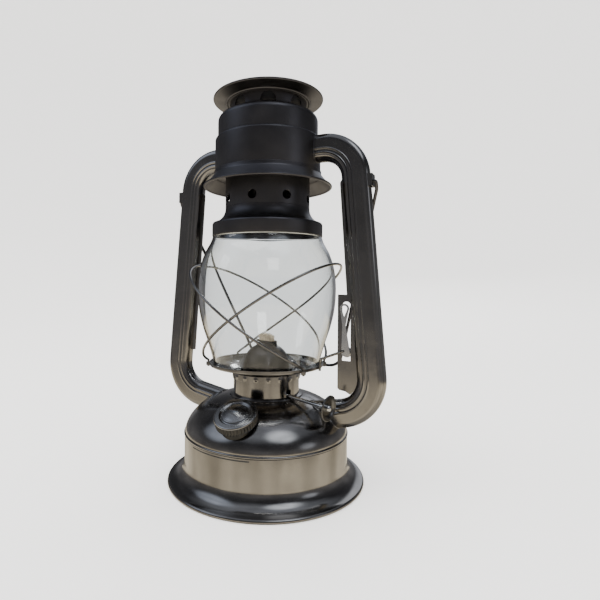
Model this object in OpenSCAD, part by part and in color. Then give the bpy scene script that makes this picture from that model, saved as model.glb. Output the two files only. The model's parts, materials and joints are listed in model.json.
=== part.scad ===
// Hurricane lantern: tank, burner, lifting globe, sprung chimney, side tubes and swinging bail.
// +X points along the side tubes, -Y is the front with the filler cap, +Z is up.

/* [Sheet metal] */
// Thickness of the pressed sheet
sheet = 0.8; // [0.7:0.05:0.9]

/* [Tank] */
// Radius of the rolled rim that the lantern stands on
foot_r = 78; // [76:0.5:80]
// Radius of the upright wall
wall_r = 65; // [64.5:0.25:65.5]
// Height of the seam between wall and dome
seam_z = 37.6; // [37:0.2:38]
// Height of the top of the dome
dome_z = 66; // [65.6:0.1:66.2]

/* [Filler] */
// Distance from the axis to the middle of the cap's top
filler_y = 55.5; // [55:0.25:57]
// Height of the middle of the cap's top
filler_z = 64; // [63.5:0.25:65]
// Lean of the filler away from the axis, in degrees
filler_tilt = 26; // [24:1:28]
// Turn of the filler from the front towards the lift tab, in degrees
filler_turn = 4; // [0:1:8]
// Outer radius of the cap
cap_r = 15.7; // [15.5:0.1:16]

/* [Burner] */
// Outer radius of the collar round the burner
collar_r = 26.5; // [26:0.25:26.75]
// Height of the collar's upper edge
collar_top = 84.2; // [83.5:0.1:84.2]
// Turn of the wick and its shaft from the tube plane towards the front, in degrees
burner_turn = 13; // [12:1:18]
// Width of the flat wick
wick_w = 16.4; // [15:0.2:16.4]
// Height of the wick's tip
wick_tip = 115; // [111:0.5:116]
// Radius of the wick knob
knob_r = 9.75; // [8:0.25:10]
// Distance from the axis to the wick knob, along the shaft
knob_out = 62.5; // [58:0.5:64]

/* [Side tubes] */
// Width of a tube, seen from the front
tube_w = 21; // [20.5:0.1:21.2]
// Depth of a tube, from front to back
tube_d = 12; // [11:0.25:12]
// Height of the upper run of the tubes
tube_top = 258.6; // [258:0.1:258.8]
// Reach of a tube's middle line from the axis, at the bail's pivot
tube_x = 73.7; // [73.4:0.1:74]
// Splay of the tubes, outwards on the way down, in degrees
splay = 4.9; // [4.7:0.1:5]

/* [Bail] */
// Height of the pivots
pivot_z = 230; // [229:0.5:231]
// Distance from the pivots to the grip
bail_reach = 160; // [150:1:165]
// Half the width of the grip
grip_half = 42; // [36:1:46]
// Thickness of the bail's wire
bail_wire = 2.6; // [2.4:0.1:2.7]
// Angle from hanging straight down at which the bail rests on the tubes
bail_rest = 22; // [22:1:26]

/* [Globe] */
// Height of the globe's lower edge
globe_z = 90; // [89.9:0.05:90]
// Height of the globe
globe_h = 102; // [101:0.25:102.2]
// Radius of the globe at its widest
globe_r = 55.5; // [54:0.25:56]
// Thickness of the glass
glass = 2.2; // [1.8:0.1:2.4]
// Thickness of the guard wires
guard_wire = 2; // [1.6:0.1:2]

/* [Chimney and hood] */
// Radius of the chimney bell
bell_r = 44.5; // [44:0.25:45]
// Radius of the chimney neck
neck_r = 34; // [33:0.25:34]
// Radius of the flue inside the hood
flue_r = 31; // [30.5:0.1:31.2]
// Radius of the air chamber
chamber_r = 42.5; // [42:0.1:42.8]
// Radius of the hood above the air chamber
hood_r = 40.4; // [40:0.1:40.6]
// Radius of the drip skirt's lower edge
skirt_r = 51.9; // [50:0.25:53]
// Radius of the chimney's brim
brim_r = 44.4; // [43:0.2:46]

/* [Hidden] */
$fn = 96;
metal = "dimgray";
dark_metal = "#3c3c3e";

// Tank
foot_z = 3;
flare = foot_r - 0.8 - wall_r;
seam_half = 0.9;
dome_r = wall_r - 0.4;
dome_base = seam_z + seam_half + 0.4;
dome_power = 1.75;
floor_z = 17;
font_top_z = seam_z - 0.4;

// Filler, measured along its own axis down from the cap's top
filler_neck_r = 13;
filler_neck_end = -34;
filler_neck_top = -2.6;
gasket_h = 1.15;
cap_skirt = 6.5;

// Burner
burner_neck_r = 14.8;
burner_neck_top = 60;
flange_h = 2;
air_plate_z = 78;
wick_t = 2.2;
wheel_r = 3;
wheel_x = 4;
shaft_r = 1.5;
shaft_fit = 0.05;
shaft_y = -(wick_t / 2 + 0.25 + wheel_r);
shaft_z = 70.9;
shaft_dip = 5;
tube_slot = [wick_w + 2, wick_t + 2.2];

// Side tubes: corners of the middle line and the radius of each bend
tube_bends = [25, 27];
tube_corner = 5;
rib = 0.5;
foot_slope = 0.19;
foot_mid = [50, 55.6];
top_corner = [tube_x - (tube_top - pivot_z) * tan(splay), 0, tube_top];
low_z = (foot_mid[1] + foot_slope * (tube_x + pivot_z * tan(splay) - foot_mid[0]))
    / (1 + foot_slope * tan(splay));
low_corner = [tube_x + (pivot_z - low_z) * tan(splay), 0, low_z];
tube_start = [chamber_r - 1.6, 0, tube_top];
tube_end = [38, 0, foot_mid[1] + foot_slope * (38 - foot_mid[0])];
seam_top = [61.1, 231];
seam_slope = 0.07;

// Lift guide on the right-hand tube
guide_x = 60.1;
guide_top = 147;
slot_x = 66.8;
slot_half = 3.3;
slot_low = 97.5;
slot_high = 141.8;
pin_z = 104;
tab_front = -1.9;

// Bail
ear_x = 85.4;
ear_t = 0.9;
leg_x = 88.1;
leg_drop = 6;

// Chimney and hood
bell_low = globe_z + globe_h + 0.7;
bell_high = 202.5;
neck_low = 215;
neck_high = 256;
chamber_low = 241;
chamber_high = 268.5;
hood_top = 290.5;
crown_low = 286;
crown_high = 299;
brim_z = 302.6;
spring_low = 257.4;
spring_high = 288.2;
spring_turns = 4;

function unit(v) = v / norm(v);
function left(v) = [-v[1], v[0]];
function last(p) = p[len(p) - 1];
function back(p) = [for (i = [len(p) - 1 : -1 : 0]) p[i]];
function heading(p, i) = unit(p[min(i + 1, len(p) - 1)] - p[max(i - 1, 0)]);

// Points along an arc, from one angle to another
function arc(mid, r, from, to, n = 8) =
    [for (k = [0 : n]) let (a = from + (to - from) * k / n) mid + r * [cos(a), sin(a)]];

// The outline moved to its left by t
function inset(p, t) = [for (i = [0 : len(p) - 1]) p[i] + t * left(heading(p, i))];

// A smooth curve through the points, n steps to a stretch
function curve_at(a, b, c, d, t) =
    0.5 * (2 * b + (c - a) * t + (2 * a - 5 * b + 4 * c - d) * t * t + (3 * b - a - 3 * c + d) * t * t * t);
function smooth(p, n) = concat(
    [for (i = [0 : len(p) - 2], k = [0 : n - 1])
        curve_at(p[max(i - 1, 0)], p[i], p[i + 1], p[min(i + 2, len(p) - 1)], k / n)],
    [last(p)]
);

// A route in space with its corners rounded
function corner_mid(a, b, c, r) =
    let (u = unit(a - b), v = unit(c - b)) b + unit(u + v) * r / sin(acos(u * v) / 2);
function corner(a, b, c, r, n) =
    let (
        u = unit(a - b),
        v = unit(c - b),
        half = acos(u * v) / 2,
        mid = corner_mid(a, b, c, r),
        e = unit(b + u * r / tan(half) - mid),
        f = unit(b + v * r / tan(half) - mid),
        spread = 180 - 2 * half
    )
    [for (k = [0 : n]) mid + r * (sin(spread * (1 - k / n)) * e + sin(spread * k / n) * f) / sin(spread)];
function route(p, radii, n) = concat(
    [p[0]],
    [for (i = [1 : len(p) - 2]) each corner(p[i - 1], p[i], p[i + 1], radii[i - 1], n)],
    [last(p)]
);

// A section set square to the route at point i; 'flat' is the section's second direction
function ring(path, i, section, flat) =
    let (ahead = heading(path, i), side = unit(cross(ahead, flat)), up = cross(side, ahead))
    [for (s = section) path[i] + s[0] * side + s[1] * up];
function rings(path, section, flat) =
    [for (i = [0 : len(path) - 1]) each ring(path, i, section, flat)];
function disc(r, n) = [for (k = [0 : n - 1]) r * [cos(360 * k / n), sin(360 * k / n)]];

// A solid wire or bar along a route
module sweep(path, section, flat) {
    n = len(section);
    end = (len(path) - 1) * n;
    sides = [for (i = [0 : n : end - n], k = [0 : n - 1]) let (j = (k + 1) % n) [i + j, i + n + j, i + n + k, i + k]];
    near_cap = [for (k = [n - 1 : -1 : 0]) k];
    far_cap = [for (k = [0 : n - 1]) end + k];
    polyhedron(rings(path, section, flat), concat(sides, [near_cap, far_cap]));
}

// A hollow tube along a route; both sections have the same number of points
module pipe(path, outer, inner, flat) {
    n = len(outer);
    m = len(path) * n;
    end = m - n;
    steps = [for (i = [0 : n : end - n], k = [0 : n - 1]) [i, k, (k + 1) % n]];
    outside = [for (s = steps) [s[0] + s[2], s[0] + n + s[2], s[0] + n + s[1], s[0] + s[1]]];
    inside = [for (s = steps) [m + s[0] + s[1], m + s[0] + n + s[1], m + s[0] + n + s[2], m + s[0] + s[2]]];
    near_cap = [for (k = [0 : n - 1]) let (j = (k + 1) % n) [j, k, m + k, m + j]];
    far_cap = [for (k = [0 : n - 1]) let (j = (k + 1) % n) [end + k, end + j, m + end + j, m + end + k]];
    points = concat(rings(path, outer, flat), rings(path, inner, flat));
    polyhedron(points, concat(outside, inside, near_cap, far_cap));
}

module lathe(p) rotate_extrude() polygon(p);
module shell(p, t = sheet) lathe(concat(p, back(inset(p, t))));
module hoop(r, t, low, high) lathe([[r - t, low], [r, low], [r, high], [r - t, high]]);
module round_holes(count, at, r, first = 0) {
    for (k = [0 : count - 1]) rotate([0, 0, first + k * 360 / count]) translate(at) cylinder(h = 6, r = r, center = true);
}
module side_holes(count, out, z, r, first = 0) {
    for (k = [0 : count - 1]) rotate([0, 0, first + k * 360 / count])
        translate([out, 0, z]) rotate([0, 90, 0]) cylinder(h = 8, r = r, center = true);
}
module oblong(size) {
    square([size[0] - size[1], size[1]], center = true);
    for (x = [-1, 1]) translate([x * (size[0] - size[1]) / 2, 0]) circle(d = size[1]);
}
module in_filler() {
    rotate([0, 0, filler_turn]) translate([0, -filler_y, filler_z]) rotate([filler_tilt, 0, 0]) children();
}
module in_burner() rotate([0, 0, -burner_turn]) children();
module in_shaft() in_burner() translate([0, shaft_y, shaft_z]) rotate([0, 90 + shaft_dip, 0]) children();

// ---- Tank ----

module tank_skirt() {
    wall = concat(arc([wall_r + flare, foot_z + flare], flare, 270, 180, 10), [[wall_r, seam_z - seam_half]]);
    bead = [for (p = arc([foot_r - 1.6, 1.4], 1.6, 0, 345, 23)) [p[0], max(p[1], 0)]];
    color(metal) union() {
        shell(wall);
        lathe(bead);
    }
}

module tank_seam() {
    edge = arc([wall_r - 0.6, seam_z], 1.1, 0, 342, 19);
    color(metal) lathe([for (p = edge) [p[0], max(seam_z - seam_half, min(seam_z + seam_half, p[1]))]]);
}

module tank_dome() {
    reach = dome_r - collar_r;
    rise = dome_z - dome_base;
    crown = concat([[dome_r, dome_base - 0.4]], [for (k = [0 : 16]) let (a = 90 * k / 16)
        [collar_r + reach * pow(cos(a), 2 / dome_power), dome_base + rise * pow(sin(a), 2 / dome_power)]]);
    color(metal) difference() {
        shell(crown);
        for (x = [0, 1]) mirror([x, 0, 0]) tube_foot(0.1);
        in_filler() translate([0, 0, filler_neck_end]) cylinder(h = 40, r = filler_neck_r + 0.05);
    }
}

module tank_bottom() {
    color(metal) shell([[0, floor_z - 2], [38, floor_z - 2], [42, floor_z], [wall_r - sheet, floor_z]]);
}

module font_top() {
    color(metal) difference() {
        lathe([[burner_neck_r - sheet, font_top_z], [wall_r - 1.7, font_top_z],
            [wall_r - 1.7, font_top_z + sheet], [burner_neck_r - sheet, font_top_z + sheet]]);
        in_filler() translate([0, 0, filler_neck_end]) cylinder(h = 40, r = filler_neck_r + 0.05);
    }
}

// ---- Filler ----

module filler_neck() {
    outer = [[filler_neck_r, filler_neck_end], [filler_neck_r, -7], [filler_neck_r + 0.6, -6],
        [filler_neck_r, -5], [filler_neck_r, filler_neck_top]];
    inner = filler_neck_r - sheet;
    color("gray") in_filler() lathe(concat(outer, [[inner, filler_neck_top], [inner, filler_neck_end]]));
}

module filler_gasket() {
    color("#2a2a2a") in_filler() hoop(filler_neck_r + 0.8, 4.8, filler_neck_top, filler_neck_top + gasket_h);
}

module filler_cap() {
    under = filler_neck_top + gasket_h;
    outline = concat(
        [[0, under], [cap_r - 1.4, under], [cap_r - 1.4, -cap_skirt], [cap_r, -cap_skirt], [cap_r, -1]],
        arc([cap_r - 1.1, -1], 1.1, 15, 90, 4),
        [[12, 0.1], [11.2, -0.5], [9.4, -0.5]],
        [for (k = [0 : 6]) let (r = 8.6 * (1 - k / 6)) [r, 0.1 + 1.5 * (1 - pow(r / 8.6, 2))]]
    );
    color("silver") in_filler() difference() {
        lathe(outline);
        for (k = [0 : 35]) rotate([0, 0, k * 10]) translate([cap_r + 0.25, 0, -cap_skirt - 1])
            cylinder(h = cap_skirt - 0.6, r = 0.6, $fn = 24);
    }
}

// ---- Burner ----

module burner_neck() color(metal) hoop(burner_neck_r, sheet, font_top_z + sheet, burner_neck_top);

module burner_body() {
    color("goldenrod") difference() {
        union() {
            translate([0, 0, burner_neck_top - 8]) cylinder(h = 8, r = burner_neck_r - 0.9);
            translate([0, 0, burner_neck_top]) cylinder(h = flange_h, r = burner_neck_r + 2.2);
        }
        in_burner() translate([0, 0, burner_neck_top - 9]) linear_extrude(12) oblong(tube_slot);
    }
}

module shaft_bearings() {
    foot = burner_neck_top + flange_h;
    color("goldenrod") difference() {
        union() {
            in_shaft() for (z = [-12, 9]) translate([0, 0, z]) cylinder(h = 3.5, r = 2.8);
            in_burner() for (x = [-11.5, 9.2]) translate([x, shaft_y - 1.6, foot]) cube([2.6, 3.2, 7.4]);
        }
        in_shaft() translate([0, 0, -20]) cylinder(h = 44, r = shaft_r + shaft_fit);
    }
}

module burner_collar() {
    color(metal) difference() {
        lathe([[collar_r - sheet, dome_z], [collar_r + 3, dome_z], [collar_r + 2.6, dome_z + 0.9],
            [collar_r, dome_z + 1.4], [collar_r, collar_top - 0.5], [collar_r - sheet, collar_top - 0.5]]);
        in_burner() translate([collar_r - 5, shaft_y - 2.3, dome_z + 0.5]) cube([10, 4.6, 6.6]);
    }
}

module burner_band() {
    color(metal) union() {
        hoop(collar_r + sheet, sheet, collar_top - 5, collar_top);
        side_bumps(18, collar_r + sheet, collar_top - 2.5, 0.9);
    }
}

module side_bumps(count, out, z, r) {
    for (k = [0 : count - 1]) rotate([0, 0, k * 360 / count])
        translate([out - 0.4, 0, z]) rotate([0, 90, 0]) cylinder(h = 0.9, r = r, $fn = 24);
}

module air_plate() {
    color("goldenrod") difference() {
        translate([0, 0, air_plate_z]) cylinder(h = sheet, r = collar_r - sheet);
        in_burner() translate([0, 0, air_plate_z - 1]) linear_extrude(3) oblong(tube_slot + [0.1, 0.1]);
        round_holes(20, [21.8, 0, air_plate_z], 1.25);
        round_holes(10, [14.5, 0, air_plate_z], 1.25);
    }
}

module burner_cone() {
    outline = concat([[19, air_plate_z + sheet]], smooth([[19, 89], [18, 94], [15.5, 99.5], [11, 104], [5, 106.5]], 3),
        [[3, 106.8], [0, 106.8]]);
    mouth = [wick_w + 1.6, wick_t + 3.8];
    color("#57534d") union() {
        difference() {
            shell(outline);
            in_burner() translate([0, 0, 95]) linear_extrude(20) oblong(mouth);
        }
        in_burner() translate([0, 0, 102]) linear_extrude(7) difference() {
            oblong(mouth + [1.6, 1.6]);
            oblong(mouth);
        }
    }
}

module wick_tube() {
    color("goldenrod") in_burner() difference() {
        translate([0, 0, 54]) linear_extrude(49) difference() {
            oblong(tube_slot);
            oblong(tube_slot - [1.4, 1.4]);
        }
        for (x = [-wheel_x, wheel_x]) translate([x - 1.3, -3.4, shaft_z - 4]) cube([2.6, 3, 8]);
    }
}

module wick() color("ivory") in_burner() translate([0, 0, 24]) linear_extrude(wick_tip - 24) oblong([wick_w, wick_t]);

module wick_shaft() {
    teeth = [for (k = [0 : 23]) (k % 2 == 0 ? wheel_r : wheel_r - 0.5) * [cos(15 * k), sin(15 * k)]];
    color("silver") in_shaft() union() {
        translate([0, 0, -14]) cylinder(h = 14 + knob_out, r = shaft_r);
        for (z = [-wheel_x, wheel_x]) translate([0, 0, z - 0.8]) linear_extrude(1.6) polygon(teeth);
    }
}

module wick_knob() {
    face = knob_out - 1.2;
    color("silver") in_shaft() difference() {
        lathe([[shaft_r, face - 2.5], [3.2, face - 2.5], [3.2, face - 0.9], [6, face - 0.6], [8, face + 0.6],
            [knob_r, face + 0.6], [knob_r, face + 1.6], [7.8, face + 1.6], [6, face + 0.3], [shaft_r, face]]);
        for (k = [0 : 17]) rotate([0, 0, k * 20]) translate([knob_r + 0.5, 0, face - 1])
            cylinder(h = 4, r = 1, $fn = 24);
    }
}

module knob_rivet() {
    color("white") in_shaft() translate([0, 0, knob_out]) rotate_extrude() polygon(concat([[0, 0]], arc([0, 0], 2.6, 0, 90, 6)));
}

// ---- Side tubes ----

function tube_section(grow, ridge) =
    let (
        w = tube_w / 2 + grow,
        d = tube_d / 2 + grow,
        c = tube_corner + grow,
        rib_x = [-1.4, -4.6],
        top_ribs = [for (x = rib_x) each [[x + 0.8, d], [x, d + ridge], [x - 0.8, d]]]
    )
    concat(
        arc([w - c, d - c], c, 0, 90, 4), top_ribs, arc([c - w, d - c], c, 90, 180, 4),
        arc([c - w, c - d], c, 180, 270, 4), back([for (p = top_ribs) [p[0], -p[1]]]), arc([w - c, c - d], c, 270, 360, 4)
    );

// A straight length of tube, filled in, to cut or fit other pieces by
module tube_prism(from, to, grow) {
    gap = from - to;
    translate(to) rotate([0, atan2(gap[0], gap[2]), 0]) linear_extrude(norm(gap))
        polygon(tube_section(grow, rib));
}
module tube_foot(grow) tube_prism(tube_end + 0.62 * (low_corner - tube_end), tube_end, grow);
module tube_run(grow) tube_prism(top_corner, low_corner, grow);

module side_tube() {
    path = route([tube_start, top_corner, low_corner, tube_end], tube_bends, 8);
    pipe(path, tube_section(0, rib), tube_section(-sheet, 0), [0, 1, 0]);
}
module right_tube() color(metal) side_tube();
module left_tube() color(metal) mirror([1, 0, 0]) side_tube();

// The flat seam along the inner edge of a tube, down to a height
module tube_seam(low) {
    fall = seam_top[1] - low;
    difference() {
        translate([0, 0.5, 0]) rotate([90, 0, 0]) linear_extrude(1) polygon([
            [seam_top[0] + seam_slope * fall, low], seam_top, [seam_top[0] + 2, seam_top[1] + 3],
            [tube_x, seam_top[1] + 3], [tube_x + seam_slope * fall, low]
        ]);
        tube_run(0);
    }
}
module tube_seams() {
    color(metal) {
        tube_seam(guide_top);
        mirror([1, 0, 0]) tube_seam(96);
    }
}

module ear() {
    difference() {
        translate([80, -4.4, pivot_z - 4]) cube([ear_x + ear_t - 80, 8.8, 9]);
        translate([79, -3.6, pivot_z - 5]) cube([ear_x - 79, 7.2, 11]);
        tube_run(0);
        translate([ear_x - 2, 0, pivot_z]) rotate([0, 90, 0]) cylinder(h = 6, r = bail_wire / 2 + 0.06);
    }
}
module right_ear() color(metal) ear();
module left_ear() color(metal) mirror([1, 0, 0]) ear();

// ---- Bail ----

module bail() {
    r = bail_wire / 2;
    turn_r = 1.7;
    half = [[ear_x + 0.4, 0, 0], [leg_x, 0, 0], [leg_x, 0, -leg_drop], [grip_half, 0, -bail_reach]];
    corners = concat(half, [for (p = back(half)) [-p[0], 0, p[2]]]);
    color(dark_metal) translate([0, 0, pivot_z]) rotate([bail_rest, 0, 0]) union() {
        sweep(route(corners, [turn_r, 13, 13, 13, 13, turn_r], 5), disc(r - 0.04, 10), [0, 1, 0]);
        for (x = [0, 1]) mirror([x, 0, 0]) translate([ear_x - 0.6, 0, 0]) rotate([0, 90, 0])
            cylinder(h = leg_x - turn_r - ear_x + 0.6, r = r);
    }
}

// ---- Globe lift ----

module lift_guide() {
    mid = corner_mid(top_corner, low_corner, tube_end, tube_bends[1]);
    outline = concat(
        [[guide_x, guide_top], [75, guide_top], [78, 88]],
        arc([mid[0], mid[2]], tube_bends[1] - tube_w / 2 - 0.1, 4, -48, 8),
        [[66, 74.8], [61.5, 75.3], [guide_x, 76.8]]
    );
    color(metal) difference() {
        translate([0, 0.5, 0]) rotate([90, 0, 0]) linear_extrude(1) difference() {
            polygon(outline);
            translate([slot_x - slot_half, slot_low]) square([2 * slot_half, slot_high - slot_low - slot_half]);
            translate([slot_x, slot_high - slot_half]) circle(slot_half);
        }
        tube_run(0);
    }
}

module lift_tab() {
    head = [slot_x - 1.2, 136.6];
    waist_z = 124;
    blade = concat(arc([slot_x, pin_z], slot_half, 190, 350, 8), [[slot_x - 0.3, waist_z]],
        arc(head, 3.6, -35, 215, 12), [[slot_x - 2.7, waist_z]]);
    eye = concat(arc(head, 2.2, -30, 210, 10), [head - [0.3, 6.5]]);
    color("silver") translate([0, tab_front + 1, 0]) rotate([90, 0, 0]) linear_extrude(1) difference() {
        polygon(blade);
        polygon(eye);
    }
}

module tab_rivet() {
    color("silver") translate([slot_x, 0, pin_z]) rotate([-90, 0, 0]) union() {
        translate([0, 0, tab_front + 1]) cylinder(h = 1.8 - tab_front - 1, r = slot_half - 0.3);
        translate([0, 0, 0.9]) cylinder(h = 0.9, r = 4);
    }
}

module lift_wire() {
    y = tab_front - guard_wire / 2;
    path = route([[47, y, globe_z - 1.2], [47, y, 97.5], [slot_x - 1.5, y, pin_z + 1]], [3], 5);
    color(metal) sweep(path, disc(guard_wire / 2, 8), [0, 1, 0]);
}

// ---- Globe carriage ----

module globe_plate() {
    z = globe_z - sheet;
    color(metal) difference() {
        shell([[21, collar_top + 0.2], [27, collar_top + 0.2], [31, 87], [36, z - 0.5], [40, z], [44.8, z],
            [45.7, z + 0.4], [46, z + 1.2], [46, z + 2.8]]);
        round_holes(24, [33.4, 0, 88], 1.5);
    }
}

// A guard wire leans round the globe: its ends hook on the plate on one side, its top is on the other
function guard_path(out) = concat(
    [[guard_end(-62)[0], guard_end(-62)[1], globe_z - 2.5]],
    [for (a = [-62 : 8 : 242]) let (r = out - (out - 47) * pow(abs(a - 90) / 152, 4))
        [r * sin(a), -r * cos(a), 129 + 41 * sin(a)]],
    [[guard_end(242)[0], guard_end(242)[1], globe_z - 2.5]]
);
function guard_end(a) = 47 * [sin(a), -cos(a)];

module guard_wire_right() color(metal) sweep(guard_path(59.5), disc(guard_wire / 2, 8), [0.001, 0, 1]);
module guard_wire_left() {
    color(metal) mirror([1, 0, 0]) sweep(guard_path(61.9), disc(guard_wire / 2, 8), [0.001, 0, 1]);
}

module guard_clips() {
    color(metal) difference() {
        for (a = [-62, 242, 62, 118]) translate([guard_end(a)[0], guard_end(a)[1], globe_z - 1.5]) cylinder(h = 2.6, r = 1.9);
        for (a = [-62, 242, 62, 118]) translate([guard_end(a)[0], guard_end(a)[1], globe_z - 3]) cylinder(h = 6, r = guard_wire / 2);
        translate([0, 0, globe_z - 3]) cylinder(h = 6, r = 46);
    }
}

module globe() {
    w = globe_r - 12.5;
    h = globe_h;
    outline = smooth([[w, 0], [w + 0.8, 0.06 * h], [w + 4.4, 0.18 * h], [w + 8.4, 0.3 * h], [w + 11.5, 0.44 * h],
        [globe_r, 0.6 * h], [w + 11.2, 0.74 * h], [w + 7.6, 0.86 * h], [w + 2.8, 0.95 * h], [w + 1, h]], 4);
    color("lightblue", 0.4) translate([0, 0, globe_z]) shell(outline, glass);
}

// ---- Chimney ----

module bell_seat() {
    color(dark_metal) hoop(bell_r - sheet, 5, bell_low - 0.4, bell_low + 0.4);
}

module chimney_bell() {
    cove = bell_r - neck_r + 2;
    color(dark_metal) shell(concat([[bell_r, bell_low - 0.4], [bell_r, bell_high - 0.8]],
        arc([neck_r + cove, neck_low], neck_low - bell_high, 258, 180, 10)));
}

module chimney_neck() {
    color(dark_metal) difference() {
        hoop(neck_r, sheet, neck_low, neck_high);
        side_holes(8, neck_r, 221.5, 3.5, first = -38);
    }
}

module flue_tube() {
    color(dark_metal) lathe([[flue_r - sheet, neck_high - 0.9], [neck_r - sheet, neck_high - 0.9], [neck_r - sheet, neck_high - 0.1],
        [flue_r, neck_high - 0.1], [flue_r, crown_low], [flue_r - sheet, crown_low]]);
}

module spring_seat() color("gray") hoop(37.5, 37.5 - flue_r, neck_high, neck_high + 1);

module crown_ring() {
    color(dark_metal) difference() {
        hoop(flue_r, sheet, crown_low, crown_high);
        side_holes(8, flue_r, 292.8, 5.9, first = -18);
    }
}

module chimney_brim() {
    inner = flue_r - sheet;
    bead = arc([flue_r + 2.6, crown_high + 0.9], 1.1, 200, 350, 6);
    under = concat([[inner, crown_high], [flue_r + 1.2, crown_high]], bead, [[brim_r - 1.4, brim_z - 1]]);
    over = [[flue_r + 1, crown_high + 1.9], [inner, crown_high + 1]];
    color(dark_metal) lathe(concat(under, arc([brim_r - 1, brim_z - 0.2], 1, -60, 90, 6), over));
}

module chimney_top() {
    edge = flue_r - sheet;
    outline = [for (k = [0 : 10]) let (r = edge * k / 10) [r, crown_high + 1 + 3 * (1 - pow(r / edge, 2))]];
    color(dark_metal) lathe(concat(outline, [[edge, crown_high], [0, crown_high + 3]]));
}

module chimney_spring() {
    steps = spring_turns * 16;
    path = [for (k = [0 : steps]) let (a = 360 * spring_turns * k / steps)
        [34.5 * cos(a), 34.5 * sin(a), spring_low + 0.6 + (spring_high - spring_low - 1.2) * k / steps]];
    color("silver") sweep(path, disc(0.6, 6), [0, 0, 1]);
}

// ---- Air chamber and hood ----

module air_chamber() {
    color(dark_metal) difference() {
        shell(concat([[chamber_r, chamber_low]], arc([chamber_r - 2, chamber_high], 2, 0, 70, 5)));
        for (x = [0, 1]) mirror([x, 0, 0]) tube_prism([30, 0, tube_top], [50, 0, tube_top], 0.1);
    }
}

module chamber_floor() color(dark_metal) hoop(chamber_r - sheet, chamber_r - sheet - neck_r - 0.7, chamber_low, chamber_low + sheet);

module hood_can() {
    color(dark_metal) shell(concat([[hood_r, 262]], arc([hood_r - 5, hood_top - 6.5], 5, 0, 60, 6),
        [[flue_r + 2, hood_top]]));
}

module drip_skirt() {
    outer = chamber_r + sheet;
    color(dark_metal) union() {
        shell([[skirt_r - 0.8, 232.2], [outer, chamber_low], [outer, chamber_low + 3]]);
        lathe(arc([skirt_r - 1, 232.3], 1, 0, 345, 23));
    }
}

tank_skirt();
tank_seam();
tank_dome();
tank_bottom();
font_top();
filler_neck();
filler_gasket();
filler_cap();
burner_neck();
burner_body();
shaft_bearings();
burner_collar();
burner_band();
air_plate();
burner_cone();
wick_tube();
wick();
wick_shaft();
wick_knob();
knob_rivet();
left_tube();
right_tube();
tube_seams();
left_ear();
right_ear();
bail();
lift_guide();
lift_tab();
tab_rivet();
lift_wire();
globe_plate();
guard_wire_left();
guard_wire_right();
guard_clips();
globe();
bell_seat();
chimney_bell();
chimney_neck();
flue_tube();
spring_seat();
crown_ring();
chimney_brim();
chimney_top();
chimney_spring();
air_chamber();
chamber_floor();
hood_can();
drip_skirt();
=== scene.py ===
import json
import math
import random

import bpy
import bmesh
from mathutils import Matrix, Vector


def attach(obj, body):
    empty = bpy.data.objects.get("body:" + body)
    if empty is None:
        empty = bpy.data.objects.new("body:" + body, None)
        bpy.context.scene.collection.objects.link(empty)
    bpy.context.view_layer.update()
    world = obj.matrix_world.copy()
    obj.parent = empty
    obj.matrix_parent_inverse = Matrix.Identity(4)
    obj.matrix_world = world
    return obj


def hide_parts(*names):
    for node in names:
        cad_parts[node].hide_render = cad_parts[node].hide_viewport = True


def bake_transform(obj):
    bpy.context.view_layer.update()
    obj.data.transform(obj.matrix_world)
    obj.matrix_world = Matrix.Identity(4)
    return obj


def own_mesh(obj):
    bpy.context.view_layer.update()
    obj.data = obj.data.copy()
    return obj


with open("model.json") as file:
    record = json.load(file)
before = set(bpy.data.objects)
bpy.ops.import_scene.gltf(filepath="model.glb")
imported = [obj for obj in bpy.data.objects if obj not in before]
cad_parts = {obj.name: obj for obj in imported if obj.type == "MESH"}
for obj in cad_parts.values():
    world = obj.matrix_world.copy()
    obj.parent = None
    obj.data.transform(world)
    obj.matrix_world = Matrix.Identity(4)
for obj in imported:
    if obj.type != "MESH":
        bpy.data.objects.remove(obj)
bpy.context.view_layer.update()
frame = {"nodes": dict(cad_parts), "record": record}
NODES = frame["nodes"]
MM = 0.001
# Steps round a turned piece
TURN_STEPS = 160


# ---- Camera ----

CAMERA_AZIMUTH = math.radians(27)
CAMERA_DISTANCE = 0.366
CAMERA_HEIGHT = 0.156
CAMERA_ROLL = math.radians(0.4)
LENS = 27
SENSOR_WIDTH = 36
NEAREST = 0.01
SHIFT = (0.055, -0.03)


def make_camera():
    """A level camera at the height of the globe."""
    camera = bpy.data.objects.new("camera", bpy.data.cameras.new("camera"))
    bpy.context.scene.collection.objects.link(camera)
    camera.data.lens = LENS
    camera.data.sensor_width = SENSOR_WIDTH
    camera.data.shift_x, camera.data.shift_y = SHIFT
    camera.data.clip_start = NEAREST
    a = CAMERA_AZIMUTH
    place = Vector((CAMERA_DISTANCE * math.sin(a), -CAMERA_DISTANCE * math.cos(a), CAMERA_HEIGHT))
    ahead = Vector((-math.sin(a), math.cos(a), 0))
    turn = ahead.to_track_quat("-Z", "Y").to_matrix() @ Matrix.Rotation(CAMERA_ROLL, 3, "Z")
    camera.matrix_world = Matrix.Translation(place) @ turn.to_4x4()
    bpy.context.scene.camera = camera


make_camera()


# ---- Node helpers for materials ----

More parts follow.
